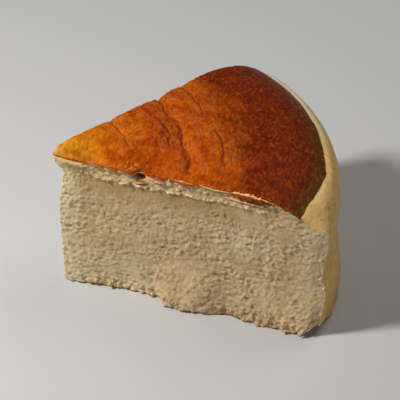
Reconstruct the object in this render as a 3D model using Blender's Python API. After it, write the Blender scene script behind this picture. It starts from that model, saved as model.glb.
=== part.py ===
"""A slice of jiggly cheesecake, cut from a small round cake with a puffed, browned top.

The slice stands on its base. Its tip points to -X and its rim to +X, the front cut faces -Y
and the back cut runs away at the slice's angle. The origin is the bottom centre of its box.

The form is a plain wedge first: columns along the two cuts and round the rim, and rings
across the top. A warp then leans, pinches and frays it like soft cake, and lifts the broken
foot of the front corner off the flat base.
"""

import math

import bpy
import numpy as np

MM = 0.001

# The wedge
CAKE_RADIUS = 75.0 * MM
SLICE_ANGLE = math.radians(60.0)

# The top, which is lowest along the front cut and puffs up behind it, with a raised tip
TOP_HEIGHT = 41.2 * MM
TIP_RISE = 1.8 * MM
TIP_RISE_REACH = 5.0 * MM
BACK_LIFT = 4.1 * MM
LIFT_CURVE = 2.4
LIFT_START = 3.0 * MM

# The rim, where the top rolls over into the side, with a dent at the front corner
SHOULDER_START = 49.0 * MM
SHOULDER_DROP = 13.8 * MM
BACK_EXTRA_DROP = 2.2 * MM
BACK_EXTRA_POWER = 3
FRONT_LESS_DROP = 5.6 * MM
FRONT_LESS_POWER = 8
CORNER_DENT = 3.7 * MM
CORNER_DENT_PLACE = 69.8 * MM
CORNER_DENT_REACH = 6.5 * MM
CORNER_DENT_POWER = 6

# The side, pinched at half height where the cake sank, with faint upright folds below
RIM_FROM = 60.0 * MM
WAIST_DEPTH = 1.7 * MM
WAIST_HEIGHT = 20.0 * MM
WAIST_REACH = 7.0 * MM
FOLD_DEPTH = 0.25 * MM
FOLD_COUNT = 11

# The front corner of the side, worn away towards the base
CORNER_CHIP = 1.7 * MM
CORNER_CHIP_HEIGHT = 17.0 * MM
CORNER_CHIP_ANGLE = math.radians(9.0)

# Wrinkles across the skin, as arcs round the tip. Each has its path, as the radius at shares
# of the slice's angle from the front cut, its depth and its half width.
WRINKLES = (
    (((0.30, 18.6 * MM), (0.60, 17.2 * MM), (1.10, 16.8 * MM)), 0.5 * MM, 1.0 * MM),
    (((0.02, 36.0 * MM), (0.20, 34.4 * MM), (0.42, 32.6 * MM), (0.62, 33.3 * MM),
      (0.80, 32.5 * MM), (1.10, 34.8 * MM)), 1.2 * MM, 1.1 * MM),
    (((0.30, 29.0 * MM), (0.60, 29.4 * MM), (0.90, 28.6 * MM)), 0.35 * MM, 0.9 * MM),
    (((0.58, 40.0 * MM), (0.80, 41.6 * MM), (1.10, 43.0 * MM)), 0.4 * MM, 1.0 * MM),
    (((0.08, 43.8 * MM), (0.30, 43.4 * MM), (0.58, 41.8 * MM)), 0.45 * MM, 1.0 * MM),
)
WRINKLE_FADE = 0.10
VALLEY_SHARE = 0.6
VALLEY_POWER = 1.5
SWELL_HALVES = 3.0

# The front cut's foot: how far it stands out at each distance from the tip
FRONT_FOOT = (
    (0.0 * MM, -0.4 * MM),
    (18.0 * MM, -1.5 * MM),
    (25.0 * MM, -1.0 * MM),
    (31.5 * MM, 2.7 * MM),
    (37.0 * MM, 3.0 * MM),
    (47.0 * MM, 0.9 * MM),
    (53.0 * MM, 1.9 * MM),
    (70.0 * MM, 2.8 * MM),
    (75.0 * MM, 1.4 * MM),
)
BACK_FOOT = (
    (0.0 * MM, -0.4 * MM),
    (22.0 * MM, 0.9 * MM),
    (40.0 * MM, 0.3 * MM),
    (58.0 * MM, 1.4 * MM),
    (75.0 * MM, -0.6 * MM),
)
FOOT_REACH = 16.0 * MM
CUT_DEPTH = 9.0 * MM

# The front cut rounds back a little at the corner, over its whole height
CORNER_BEND = 0.5 * MM
CORNER_BEND_FROM = 70.5 * MM

# The front corner's foot is broken off, so that the base rises there
CORNER_RISE = 2.8 * MM
CORNER_RISE_FROM = 69.5 * MM
CORNER_RISE_ACROSS = 8.0 * MM
CORNER_RISE_HEIGHT = 20.0 * MM
BASE_MARGIN = 9.0 * MM

# The tip's upright edge: how far it stands out at each height, with the skin's beak on top
TIP_EDGE = (
    (0.0 * MM, 0.2 * MM),
    (6.0 * MM, 0.3 * MM),
    (25.0 * MM, 0.8 * MM),
    (36.5 * MM, -0.3 * MM),
    (40.6 * MM, 2.0 * MM),
)
TIP_REACH = 5.0 * MM

# The tear under the skin: a band that pulled away with the knife, over a ragged ledge
TEAR_DEPTH = 0.4 * MM
TEAR_TOP = 1.0 * MM
LEDGE_BELOW = 4.1 * MM
LEDGE_WAVE = 0.5 * MM
LEDGE_WAVELENGTH = 13.0 * MM
LIP_WAVELENGTH = 5.0 * MM
LEDGE_OUT = 0.6 * MM
LEDGE_HALF = 0.5 * MM
LIP_MEAN = 0.6
LIP_SWING = 0.4
TEAR_FROM = 5.0 * MM
TEAR_TO = 61.0 * MM
TEAR_FADE = 6.0 * MM

# The frayed bottom edge
EDGE_ROUND = 0.9 * MM
FRAY = 0.45 * MM
FRAY_REACH = 4.0 * MM
FRAY_WAVELENGTH = 7.0 * MM

# A point this close to a cut lies on it
ON_CUT = 0.05 * MM

# Uneven waves: the lengths of the three sines, how their height falls, and their tallest sum
WAVE_SHARES = (1.0, 0.58, 0.33)
WAVE_POWER = 0.5
WAVE_PEAK = 2.2

# Seeds of the uneven waves
FRONT_FRAY_SEED = 3
BACK_FRAY_SEED = 8
FRONT_TEAR_SEED = 12
BACK_TEAR_SEED = 20

# Mesh steps
CUT_STEPS = 44
LEVEL_STEPS = 29
RIM_STEPS = 30
TOP_SPACING = 2.3 * MM
FOOT_ROWS = (0.0, 0.25 * MM, 0.9 * MM, 2.2 * MM)
MIDDLE_STEPS = 12
TOP_ROWS = (5.4 * MM, 4.7 * MM, 4.1 * MM, 3.4 * MM, 1.6 * MM, 0.7 * MM, 0.0)

CRUMB_COLOUR = (0.76, 0.61, 0.36, 1.0)
CRUMB_ROUGHNESS = 0.85
SKIN_COLOUR = (0.42, 0.14, 0.02, 1.0)
SKIN_ROUGHNESS = 0.4
SKIN_RADIUS = 71.0 * MM
SKIN_SLOPE = 0.5
CREASE_ANGLE = math.radians(50.0)


def ease(value, start, end):
    """Rise smoothly from 0 at start to 1 at end."""
    share = np.clip((value - start) / (end - start), 0.0, 1.0)
    return share * share * (3.0 - 2.0 * share)


def hump(value, centre, reach):
    """A smooth bump of height 1 round the centre."""
    return np.exp(-(((value - centre) / reach) ** 2))


def through(points, value):
    """Pass through a few points, level at each one and eased in between."""
    places = [place for place, _ in points]
    result = np.full_like(value, points[0][1])
    for (start, low), (end, high) in zip(points, points[1:]):
        result = np.where(value > start, low + (high - low) * ease(value, start, end), result)
    return np.where(value > places[-1], points[-1][1], result)


def ripple(value, wavelength, seed):
    """Uneven waves between about -1 and 1, the same on every run."""
    draw = np.random.default_rng(seed)
    total = np.zeros_like(value)
    for share in WAVE_SHARES:
        phase = draw.uniform(0.0, 2.0 * math.pi)
        total += share ** WAVE_POWER * np.sin(2.0 * math.pi * value / (wavelength * share) + phase)
    return total / WAVE_PEAK


def wrinkle_relief(rho, share):
    """How far the wrinkles sink into the top: a narrow valley each, inside a broad swell."""
    relief = np.zeros_like(rho)
    for path, depth, half in WRINKLES:
        start, end = path[0][0], path[-1][0]
        run = ease(share, start, start + WRINKLE_FADE) * (1.0 - ease(share, end - WRINKLE_FADE, end))
        across = (rho - through(path, share)) / half
        valley = np.exp(-np.abs(across) ** VALLEY_POWER)
        swell = hump(across, 0.0, SWELL_HALVES)
        relief -= depth * run * (VALLEY_SHARE * valley + (1.0 - VALLEY_SHARE) * swell)
    return relief


def top_height(rho, share):
    """Height of the top at a distance from the tip and a share of the slice's angle."""
    lift = BACK_LIFT * (1.0 - (1.0 - share) ** LIFT_CURVE) * (1.0 - np.exp(-rho / LIFT_START))
    tip = TIP_RISE * np.exp(-rho / TIP_RISE_REACH)
    roll = np.clip((rho - SHOULDER_START) / (CAKE_RADIUS - SHOULDER_START), 0.0, 1.0)
    drop = SHOULDER_DROP + BACK_EXTRA_DROP * share ** BACK_EXTRA_POWER
    drop -= FRONT_LESS_DROP * (1.0 - share) ** FRONT_LESS_POWER
    dent = hump(rho, CORNER_DENT_PLACE, CORNER_DENT_REACH) * (1.0 - share) ** CORNER_DENT_POWER
    relief = wrinkle_relief(rho, share) * (1.0 - ease(rho, SHOULDER_START, CAKE_RADIUS))
    rolled = drop * (1.0 - np.sqrt(1.0 - roll ** 2)) + CORNER_DENT * dent
    return TOP_HEIGHT + lift + tip - rolled + relief


def cut_distances():
    """Distances from the tip: even along the flat top, then even steps round the shoulder."""
    turn = np.linspace(0.0, 0.5 * math.pi, CUT_STEPS - LEVEL_STEPS + 1)
    flat = np.linspace(0.0, SHOULDER_START, LEVEL_STEPS + 1)
    return np.concatenate([flat[:-1], SHOULDER_START + (CAKE_RADIUS - SHOULDER_START) * np.sin(turn)])


def column_heights(top):
    """Heights of the points up one column, close together at the foot and under the skin."""
    upper = top - np.array(TOP_ROWS)
    middle = np.linspace(FOOT_ROWS[-1], upper[0], MIDDLE_STEPS + 1)
    return np.concatenate([FOOT_ROWS[:-1], middle, upper[1:]])


def wall_outline():
    """The wedge's outline from the tip along the front cut, round the rim and back again."""
    cut = cut_distances()
    share = np.linspace(0.0, 1.0, RIM_STEPS + 1)
    rho = np.concatenate([cut, np.full(RIM_STEPS, CAKE_RADIUS), cut[-2:0:-1]])
    around = np.concatenate([np.zeros(len(cut)), share[1:], np.ones(len(cut) - 2)])
    return rho, around


def wall_points(rho, share):
    """One column of points for each point of the outline."""
    heights = np.array([column_heights(top) for top in top_height(rho, share)])
    angle = SLICE_ANGLE * share[:, None]
    spread = rho[:, None] * np.ones_like(heights)
    return np.stack([spread * np.cos(angle), spread * np.sin(angle), heights], axis=-1)


def inward(x, y, amount):
    """Move towards the centre of the wedge's inscribed circle, so that each side moves alike."""
    half = 0.5 * SLICE_ANGLE
    centre = CAKE_RADIUS / (1.0 + math.sin(half))
    share = amount / (centre * math.sin(half))
    return x + (centre * math.cos(half) - x) * share, y + (centre * math.sin(half) - y) * share


def cut_relief(along, below, seed):
    """How far a cut face stands out at a depth below the skin: the torn band and its ledge."""
    ledge = LEDGE_BELOW + LEDGE_WAVE * ripple(along, LEDGE_WAVELENGTH, seed)
    run = ease(along, TEAR_FROM, TEAR_FROM + TEAR_FADE) * (1.0 - ease(along, TEAR_TO - TEAR_FADE, TEAR_TO))
    band = ease(below, 0.0, TEAR_TOP) * (1.0 - ease(below, ledge - LEDGE_HALF, ledge))
    broken = LIP_MEAN + LIP_SWING * ripple(along, LIP_WAVELENGTH, seed + 1)
    lip = broken * hump(below, ledge + LEDGE_HALF, LEDGE_HALF)
    return run * (LEDGE_OUT * lip - TEAR_DEPTH * band)


def warp(points, below):
    """Lean, pinch and fray the plain wedge; below is each point's depth under the skin."""
    x, y, z = points[..., 0].copy(), points[..., 1].copy(), points[..., 2].copy()
    rho = np.hypot(x, y)
    angle = np.arctan2(y, x)

    # Distances from the two cuts, and how strongly each one pulls on a point
    front_gap = rho * np.sin(np.clip(angle, 0.0, None))
    back_gap = rho * np.sin(np.clip(SLICE_ANGLE - angle, 0.0, None))
    front_pull = np.exp(-front_gap / CUT_DEPTH)
    back_pull = np.exp(-back_gap / CUT_DEPTH)

    # How far the two cuts stand out: the foot, the fray, the bend by the rim and the tear
    low = 1.0 - ease(z, 0.0, FOOT_REACH)
    fray = FRAY * (1.0 - ease(z, 0.0, FRAY_REACH))
    bend = CORNER_BEND * ease(rho, CORNER_BEND_FROM, CAKE_RADIUS)
    front = through(FRONT_FOOT, rho) * low + fray * ripple(rho, FRAY_WAVELENGTH, FRONT_FRAY_SEED)
    back = through(BACK_FOOT, rho) * low + fray * ripple(rho, FRAY_WAVELENGTH, BACK_FRAY_SEED)
    front_tear = np.where(front_gap < ON_CUT, cut_relief(rho, below, FRONT_TEAR_SEED), 0.0)
    back_tear = np.where(back_gap < ON_CUT, cut_relief(rho, below, BACK_TEAR_SEED), 0.0)
    front = (front - bend) * front_pull + front_tear
    back = back * back_pull + back_tear

    # How far the side stands out: the upright folds, the waist and the worn corner
    waist = WAIST_DEPTH * hump(z, WAIST_HEIGHT, WAIST_REACH)
    folds = FOLD_DEPTH * np.sin(2.0 * math.pi * FOLD_COUNT * angle / SLICE_ANGLE)
    folds *= 1.0 - ease(z, WAIST_HEIGHT, WAIST_HEIGHT + WAIST_REACH)
    chip = CORNER_CHIP * hump(angle, 0.0, CORNER_CHIP_ANGLE) * (1.0 - ease(z, 0.0, CORNER_CHIP_HEIGHT))
    side = (folds - waist - chip) * ease(rho, RIM_FROM, CAKE_RADIUS)
    tip = through(TIP_EDGE, z) * hump(rho, 0.0, TIP_REACH)

    half = 0.5 * SLICE_ANGLE
    x += side * np.cos(angle) - tip * math.cos(half) - back * math.sin(SLICE_ANGLE)
    y += side * np.sin(angle) - tip * math.sin(half) + back * math.cos(SLICE_ANGLE) - front
    rounding = 1.0 - np.clip(z / EDGE_ROUND, 0.0, 1.0)
    x, y = inward(x, y, EDGE_ROUND * (1.0 - np.sqrt(1.0 - rounding ** 2)))

    # The broken foot of the corner lifts the base there and squeezes what is over it
    broken = ease(rho, CORNER_RISE_FROM, CAKE_RADIUS) * (1.0 - ease(front_gap, 0.0, CORNER_RISE_ACROSS))
    z += CORNER_RISE * broken * (1.0 - ease(z, 0.0, CORNER_RISE_HEIGHT))
    return np.stack([x, y, z], axis=-1)


def join_rings(inner, outer):
    """Fill the strip between two rows of vertex numbers that run the same way."""
    faces = []
    first, second = 0, 0
    while first < len(inner) - 1 or second < len(outer) - 1:
        step_first = (first + 1) / max(len(inner) - 1, 1)
        step_second = (second + 1) / max(len(outer) - 1, 1)
        if second < len(outer) - 1 and (first == len(inner) - 1 or step_second <= step_first):
            faces.append((inner[first], outer[second], outer[second + 1]))
            second += 1
        else:
            faces.append((inner[first], outer[second], inner[first + 1]))
            first += 1
    return faces


def build_slice_mesh():
    """Vertices and outward faces of the whole slice, with its origin at the bottom centre."""
    rho, share = wall_outline()
    columns = wall_points(rho, share)
    count, rows = columns.shape[:2]
    below = columns[:, -1:, 2] - columns[..., 2]
    vertices = list(warp(columns, below).reshape(-1, 3))

    def number(column, row):
        return (column % count) * rows + row

    faces = []
    for column in range(count):
        for row in range(rows - 1):
            faces.append((number(column, row), number(column + 1, row),
                          number(column + 1, row + 1), number(column, row + 1)))

    # The base: a strip that follows the broken corner, round one flat face
    foot = np.array([vertices[number(column, 0)] for column in range(count)])
    flat_x, flat_y = inward(foot[:, 0], foot[:, 1], BASE_MARGIN)
    start = len(vertices)
    vertices.extend(np.stack([flat_x, flat_y, np.zeros_like(flat_x)], axis=-1))
    for column in range(count):
        ahead = (column + 1) % count
        faces.append((number(ahead, 0), number(column, 0), start + column, start + ahead))
    faces.append(tuple(start + column for column in reversed(range(count))))

    # Rings across the top share their ends with the two cuts, and the last one is the rim
    cut = cut_distances()
    last = len(cut) - 1
    inner = [number(0, rows - 1)]
    for index in range(1, last + 1):
        front_end = number(index, rows - 1)
        back_end = number(count - index, rows - 1)
        if index == last:
            outer = [number(last + step, rows - 1) for step in range(RIM_STEPS + 1)]
        else:
            steps = min(RIM_STEPS, max(1, round(cut[index] * SLICE_ANGLE / TOP_SPACING)))
            across = np.linspace(0.0, 1.0, steps + 1)[1:-1]
            distance = np.full_like(across, cut[index])
            angle = SLICE_ANGLE * across
            ring = np.stack([distance * np.cos(angle), distance * np.sin(angle),
                             top_height(distance, across)], axis=-1)
            start = len(vertices)
            vertices.extend(warp(ring, np.zeros_like(across)))
            outer = [front_end, *range(start, start + len(across)), back_end]
        faces.extend(join_rings(inner, outer))
        inner = outer

    points = np.array(vertices)
    points[:, :2] -= 0.5 * (points[:, :2].min(axis=0) + points[:, :2].max(axis=0))
    return points, faces


def make_material(name, colour, roughness):
    """A plain Principled material."""
    material = bpy.data.materials.new(name)
    material.use_nodes = True
    shader = material.node_tree.nodes["Principled BSDF"]
    shader.inputs["Base Color"].default_value = colour
    shader.inputs["Roughness"].default_value = roughness
    shader.inputs["Metallic"].default_value = 0.0
    material.diffuse_color = colour
    return material


def make_slice():
    """The slice: one solid of crumb whose top faces are the browned skin."""
    points, faces = build_slice_mesh()
    mesh = bpy.data.meshes.new("cheesecake_slice")
    mesh.from_pydata(points.tolist(), [], faces)
    mesh.validate()
    mesh.materials.append(make_material("baked crumb", CRUMB_COLOUR, CRUMB_ROUGHNESS))
    mesh.materials.append(make_material("browned skin", SKIN_COLOUR, SKIN_ROUGHNESS))

    # The skin is the part of the top that looks upwards, inside the pale rim
    tip = points[points[:, 0].argmin()]
    for face in mesh.polygons:
        distance = math.hypot(face.center.x - tip[0], face.center.y - tip[1])
        if face.normal.z > SKIN_SLOPE and distance < SKIN_RADIUS:
            face.material_index = 1

    mesh.shade_smooth()
    mesh.set_sharp_from_angle(angle=CREASE_ANGLE)
    cake = bpy.data.objects.new("cheesecake_slice", mesh)
    bpy.context.scene.collection.objects.link(cake)
    return cake


def main():
    """Clear the scene and build the slice."""
    for old in list(bpy.data.objects):
        bpy.data.objects.remove(old, do_unlink=True)
    make_slice()


main()
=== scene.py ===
import math

import bmesh
import bpy
import numpy as np
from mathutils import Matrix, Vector


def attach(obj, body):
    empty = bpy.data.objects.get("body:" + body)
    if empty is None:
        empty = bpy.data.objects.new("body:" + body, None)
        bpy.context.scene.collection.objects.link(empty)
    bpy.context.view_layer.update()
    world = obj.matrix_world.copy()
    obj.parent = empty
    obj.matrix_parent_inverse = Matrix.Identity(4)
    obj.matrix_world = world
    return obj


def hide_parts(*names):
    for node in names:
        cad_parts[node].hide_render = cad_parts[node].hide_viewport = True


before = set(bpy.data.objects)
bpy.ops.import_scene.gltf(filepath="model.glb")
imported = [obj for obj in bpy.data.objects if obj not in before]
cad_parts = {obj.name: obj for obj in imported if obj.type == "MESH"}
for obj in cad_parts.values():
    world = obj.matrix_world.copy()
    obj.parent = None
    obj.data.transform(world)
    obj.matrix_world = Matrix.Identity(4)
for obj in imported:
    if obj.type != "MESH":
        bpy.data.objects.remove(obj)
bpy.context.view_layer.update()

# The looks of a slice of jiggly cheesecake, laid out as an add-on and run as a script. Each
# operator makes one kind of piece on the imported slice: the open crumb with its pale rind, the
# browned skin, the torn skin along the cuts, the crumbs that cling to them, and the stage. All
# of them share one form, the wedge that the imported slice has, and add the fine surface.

bl_info = {
    "name": "Jiggly Cheesecake Slice",
    "version": (1, 0, 0),
    "blender": (4, 5, 0),
    "location": "View3D > Sidebar > Cheesecake",
    "description": "A slice of soft cheesecake with an open crumb and a browned skin",
    "category": "Add Mesh",
}

NODE = "cheesecake_slice"
BODY = "root"
MM = 0.001


def in_mm(*rows):
    """Rows of lengths given in millimetres, in metres."""
    return tuple(tuple(value * MM for value in row) for row in rows)


def traced(*points):
    """A path over the top: shares of the slice's angle, each with a radius in millimetres."""
    return tuple((share, radius * MM) for share, radius in points)


# The wedge and its top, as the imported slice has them
CAKE_RADIUS = 75.0 * MM
SLICE_ANGLE = math.radians(60.0)
TOP_HEIGHT = 41.2 * MM
TIP_RISE = 1.8 * MM
TIP_RISE_REACH = 5.0 * MM
BACK_LIFT = 4.1 * MM
LIFT_CURVE = 2.4
LIFT_START = 3.0 * MM
SHOULDER_START = 49.0 * MM
SHOULDER_DROP = 13.8 * MM
BACK_EXTRA_DROP = 2.2 * MM
FRONT_LESS_DROP = 5.6 * MM
FRONT_LESS_POWER = 8
CORNER_DENT = 3.7 * MM
CORNER_DENT_PLACE = 69.8 * MM
CORNER_DENT_REACH = 6.5 * MM
CORNER_DENT_POWER = 6

# The side, with its waist, its upright folds and the worn front corner
RIM_FROM = 60.0 * MM
WAIST_DEPTH = 1.7 * MM
WAIST_HEIGHT = 20.0 * MM
WAIST_REACH = 7.0 * MM
FOLD_DEPTH = 0.25 * MM
FOLD_COUNT = 11
CORNER_CHIP = 1.7 * MM
CORNER_CHIP_HEIGHT = 17.0 * MM
CORNER_CHIP_ANGLE = math.radians(9.0)

# Wrinkles: path, depth and half width
WRINKLES = (
    (traced((0.30, 18.6), (0.60, 17.2), (1.10, 16.8)), 0.5 * MM, 1.0 * MM),
    (traced((0.02, 36.0), (0.20, 34.4), (0.42, 32.6), (0.62, 33.3), (0.80, 32.5), (1.10, 34.8)),
     1.2 * MM, 1.1 * MM),
    (traced((0.30, 29.0), (0.60, 29.4), (0.90, 28.6)), 0.35 * MM, 0.9 * MM),
    (traced((0.58, 40.0), (0.80, 41.6), (1.10, 43.0)), 0.4 * MM, 1.0 * MM),
    (traced((0.08, 43.8), (0.30, 43.4), (0.58, 41.8)), 0.45 * MM, 1.0 * MM),
)

# Creases by each wrinkle: how far from its bottom, in mm, and how strong
CREASE_SIDES = ((0.0, 1.0), (-4.1, 0.35), (-2.3, 0.55), (-1.0, 0.40), (1.9, 0.65), (3.0, 0.40), (4.3, 0.50))
CREASE_HALF = 0.38 * MM
WRINKLE_FADE = 0.10
VALLEY_SHARE = 0.6
VALLEY_POWER = 1.5
SWELL_HALVES = 3.0

# The cuts: how far their foot stands out along each one
FRONT_FOOT = in_mm((0.0, -0.4), (18.0, -1.5), (25.0, -1.0), (31.5, 2.7), (37.0, 3.0), (47.0, 0.9),
                   (53.0, 1.9), (70.0, 2.8), (75.0, 1.4))
BACK_FOOT = in_mm((0.0, -0.4), (22.0, 0.9), (40.0, 0.3), (58.0, 1.4), (75.0, -0.6))
FOOT_REACH = 16.0 * MM
CUT_DEPTH = 9.0 * MM
CORNER_BEND = 0.5 * MM
CORNER_BEND_FROM = 70.5 * MM
CORNER_RISE = 2.8 * MM
CORNER_RISE_FROM = 69.5 * MM
CORNER_RISE_ACROSS = 8.0 * MM
CORNER_RISE_HEIGHT = 20.0 * MM
BASE_MARGIN = 9.0 * MM

# The tip's upright edge, with the beak that the skin makes over it
TIP_EDGE = in_mm((0.0, 0.2), (6.0, 0.3), (25.0, 0.8), (36.5, -0.3), (40.6, 2.0))
TIP_REACH = 5.0 * MM

# The torn band under the skin and its ledge
TEAR_DEPTH = 0.4 * MM
TEAR_TOP = 1.0 * MM
LEDGE_BELOW = 4.1 * MM
LEDGE_WAVE = 0.5 * MM
LEDGE_WAVELENGTH = 13.0 * MM
LIP_WAVELENGTH = 5.0 * MM
LEDGE_OUT = 0.6 * MM
LEDGE_HALF = 0.5 * MM
TEAR_FROM = 5.0 * MM
TEAR_TO = 61.0 * MM
TEAR_FADE = 6.0 * MM

# Where a cut gets painted light: on its foot by the tip, against the shade of the hollow there, and over the
# patch smeared by the knife half way up
FOOT_LIGHT = 0.47
FOOT_LIGHT_TOP = (9.0 * MM, 22.0 * MM)
FOOT_LIGHT_END = (22.0 * MM, 34.0 * MM)
# The smeared patch is the knife's smear, lightened by painted light
SMEAR_AND_LIGHT = 0.45
SMEAR_AND_LIGHT_ALONG = (52.0 * MM, 14.0 * MM)
SMEAR_AND_LIGHT_UP = (24.0 * MM, 8.0 * MM)

# The frayed bottom edge
EDGE_ROUND = 0.9 * MM
FRAY = 0.45 * MM
FRAY_REACH = 4.0 * MM
FRAY_WAVELENGTH = 7.0 * MM

FRONT_FRAY_SEED = 3
BACK_FRAY_SEED = 8
FRONT_TEAR_SEED = 12
BACK_TEAR_SEED = 20

# The skin's outer edge
SKIN_REACH = traced((0.00, 66.8), (0.30, 70.6), (1.00, 70.9))

# The skin's sheet: its lift over the top, how its relief and its overhang fade before its outer
# edge, how little it hangs over and how far back from a cut it is drawn out, and where its torn
# edge gets thin
SKIN_LIFT = 0.03 * MM
RELIEF_FADE = 3.0 * MM
OVERHANG_FADE = (2.0 * MM, 8.0 * MM)
LEAST_OVERHANG = 0.1 * MM
OVERHANG_DEPTH = 0.8 * MM
THIN_FROM = (62.0 * MM, 69.0 * MM)
THIN_EDGE = 0.1 * MM

# How much further on or less the heat browned it, where, and how far behind the front cut
BROWNED_MORE = 7.0 * MM
BROWNED_MORE_AT = (27.0 * MM, 6.0 * MM)
BROWNED_DEPTH = 8.0 * MM
BROWNED_LESS = 4.0 * MM
BROWNED_LESS_AT = (23.0 * MM, 7.0 * MM)
BROWNED_LESS_SHARE = (0.25, 0.6)

# Loose strips of skin along the front cut. In mm: start and end, depth under the top at both
# ends, width, thickness, how far it stands out. Then how steeply it hangs, how pale its face is,
# and which edge is the pale torn one: 1 for the lower, -1 for the upper, 0 for neither
FLAPS = (
    (46.5, 60.0, 0.8, 1.1, 1.9, 0.80, 0.60, 1.0, 0.20, -1.0),
    (38.5, 48.0, 0.2, 0.8, 0.9, 0.40, 0.40, 0.7, 0.50, 1.0),
    (46.0, 58.0, 2.7, 3.0, 0.7, 0.50, 0.30, 0.6, 0.85, 1.0),
    (20.4, 24.2, 3.6, 2.8, 0.8, 0.50, 0.30, 0.9, 0.58, 1.0),
    (23.8, 29.5, 0.8, 2.0, 1.2, 0.60, 0.35, 0.8, 0.70, 1.0),
    (15.5, 21.0, -0.2, 1.7, 0.85, 0.50, 0.35, 0.6, 0.66, 0.0),
    (11.0, 16.5, -0.2, 1.5, 0.80, 0.45, 0.35, 0.6, 0.68, 0.0),
    (7.0, 12.0, 0.0, 1.2, 0.80, 0.50, 0.35, 0.6, 0.72, 0.0),
    (-0.6, 8.0, 1.2, 1.9, 1.4, 0.90, 0.25, 0.9, 0.97, 1.0),
    (31.0, 38.0, 0.3, 0.8, 1.0, 0.45, 0.40, 0.8, 0.50, -1.0),
)
FLAP_STEPS = 48
FLAP_TURNS = 12

# The hole torn under the front edge of the skin, and the worn patch of skin over it
HOLE = (22.3 * MM, 1.5 * MM, 2.5 * MM)
HOLE_BELOW = (1.9 * MM, 1.0 * MM)
HOLE_CLEAR = 2.0 * MM
NOTCH = 1.3 * MM
NOTCH_HALF = 1.2 * MM
WORN_PATCH = (19.6 * MM, 2.0 * MM)
WORN_ACROSS = (1.3 * MM, 1.0 * MM)

# The share of the fray that stays by the tip, and where it reaches its whole depth
FRAY_BY_TIP = 0.4
FRAY_FULL = (9.0 * MM, 16.0 * MM)

# The soft edge between the rind and the cuts, past the skin
SOFT_EDGE = 0.8 * MM
SOFT_EDGE_REACH = 1.3 * MM
SOFT_EDGE_FROM = (65.5 * MM, 69.5 * MM)

# The soft roll of the pale rind, from the skin's edge to the rim
RIND_ROLL = 0.8 * MM
RIND_ROLL_SKEW = 0.7

# Mesh steps
FRONT_STEPS = 280
BACK_STEPS = 112
SHOULDER_STEPS = 56
RIM_STEPS = 120
HEIGHT_STEPS = 104
TEAR_ROWS = 32
TEAR_ZONE = 8.0 * MM
LID_FROM = 62.0 * MM
SKIN_STEPS = (300, 230)
EDGE_ROWS = 5
BIT_ROWS = 5
BIT_COLUMNS = 7
MERGE = 1e-6

# Clinging crumbs: the share of each place, of the back cut, and the seeds of places and shapes
BIT_SHARES = (0.24, 0.36, 0.03, 0.04, 0.05, 0.28)
BITS_AT_BACK = 0.42
BIT_PLACE_SEED = 91
BIT_SHAPE_SEED = 92

# The camera and the lights: the camera's place and aim from the foot of the tip, and the way
# from the aim to each light
CAMERA_PLACE = (0.2730, -0.6874, 0.5554)
CAMERA_AIM = (0.0319, 0.0211, 0.0200)
CAMERA_LENS = 304.2
CAMERA_SEES = (0.05, 10.0)
KEY_DIRECTION = (-0.574, -0.372, 0.730)
LAMP_DISTANCE = 0.42
KEY_SIZE = 0.09
RIM_DIRECTION = (0.36, 0.42, 0.83)
RIM_SIZE = 0.25
FLOOR_LEVEL = -0.0001
FLOOR_HALF = 1.5


def slice_place():
    """Where the wedge's apex stands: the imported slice's lowest-x point is the tip of the beak."""
    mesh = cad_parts[NODE].data
    points = np.empty(len(mesh.vertices) * 3, dtype=np.float32)
    mesh.vertices.foreach_get("co", points)
    points = points.reshape(-1, 3)
    beak = points[points[:, 0].argmin()].astype(float)
    reach = TIP_EDGE[-1][1]
    half = 0.5 * SLICE_ANGLE
    return np.array([beak[0] + reach * math.cos(half), beak[1] + reach * math.sin(half), 0.0])


PLACE = slice_place()

# Points on the wedge's middle line: under the skin, at the crumb's lid and in the base
MIDDLE = np.array([math.cos(0.5 * SLICE_ANGLE), math.sin(0.5 * SLICE_ANGLE), 0.0])
SKIN_MIDDLE = PLACE + 42.0 * MM * MIDDLE + (0.0, 0.0, 39.5 * MM)
LID_MIDDLE = PLACE + 42.0 * MM * MIDDLE + (0.0, 0.0, 38.0 * MM)
BASE_MIDDLE = PLACE + 48.0 * MM * MIDDLE


# Shared curves

def ease(value, start, end):
    """Rise smoothly from 0 at start to 1 at end: 3t^2 - 2t^3 of the clipped share t."""
    share = np.clip((value - start) / (end - start), 0.0, 1.0)
    return share * share * (3.0 - 2.0 * share)


def fall(value, start, end):
    """Fall smoothly from 1 at start to 0 at end."""
    return 1.0 - ease(value, start, end)


def span(value, start, end, fade):
    """1 between start and end, eased to 0 over a fade inside both."""
    return ease(value, start, start + fade) * fall(value, end - fade, end)


def hump(value, centre, reach):
    """A bump of height 1: e to the minus square of the distance over the reach."""
    return np.exp(-(((value - centre) / reach) ** 2))


def through(points, value):
    """Pass through a few points, level at each one and eased in between."""
    result = np.full_like(value, points[0][1])
    for (start, low), (end, high) in zip(points, points[1:]):
        result = np.where(value > start, low + (high - low) * ease(value, start, end), result)
    return np.where(value > points[-1][0], points[-1][1], result)


def ripple(value, wavelength, seed):
    """Uneven waves: three sines of falling length and height, with phases drawn from the seed."""
    draw = np.random.default_rng(seed)
    total = np.zeros_like(value)
    for share in (1.0, 0.58, 0.33):
        phase = draw.uniform(0.0, 2.0 * math.pi)
        total += share ** 0.5 * np.sin(2.0 * math.pi * value / (wavelength * share) + phase)
    return total / 2.2


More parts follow.
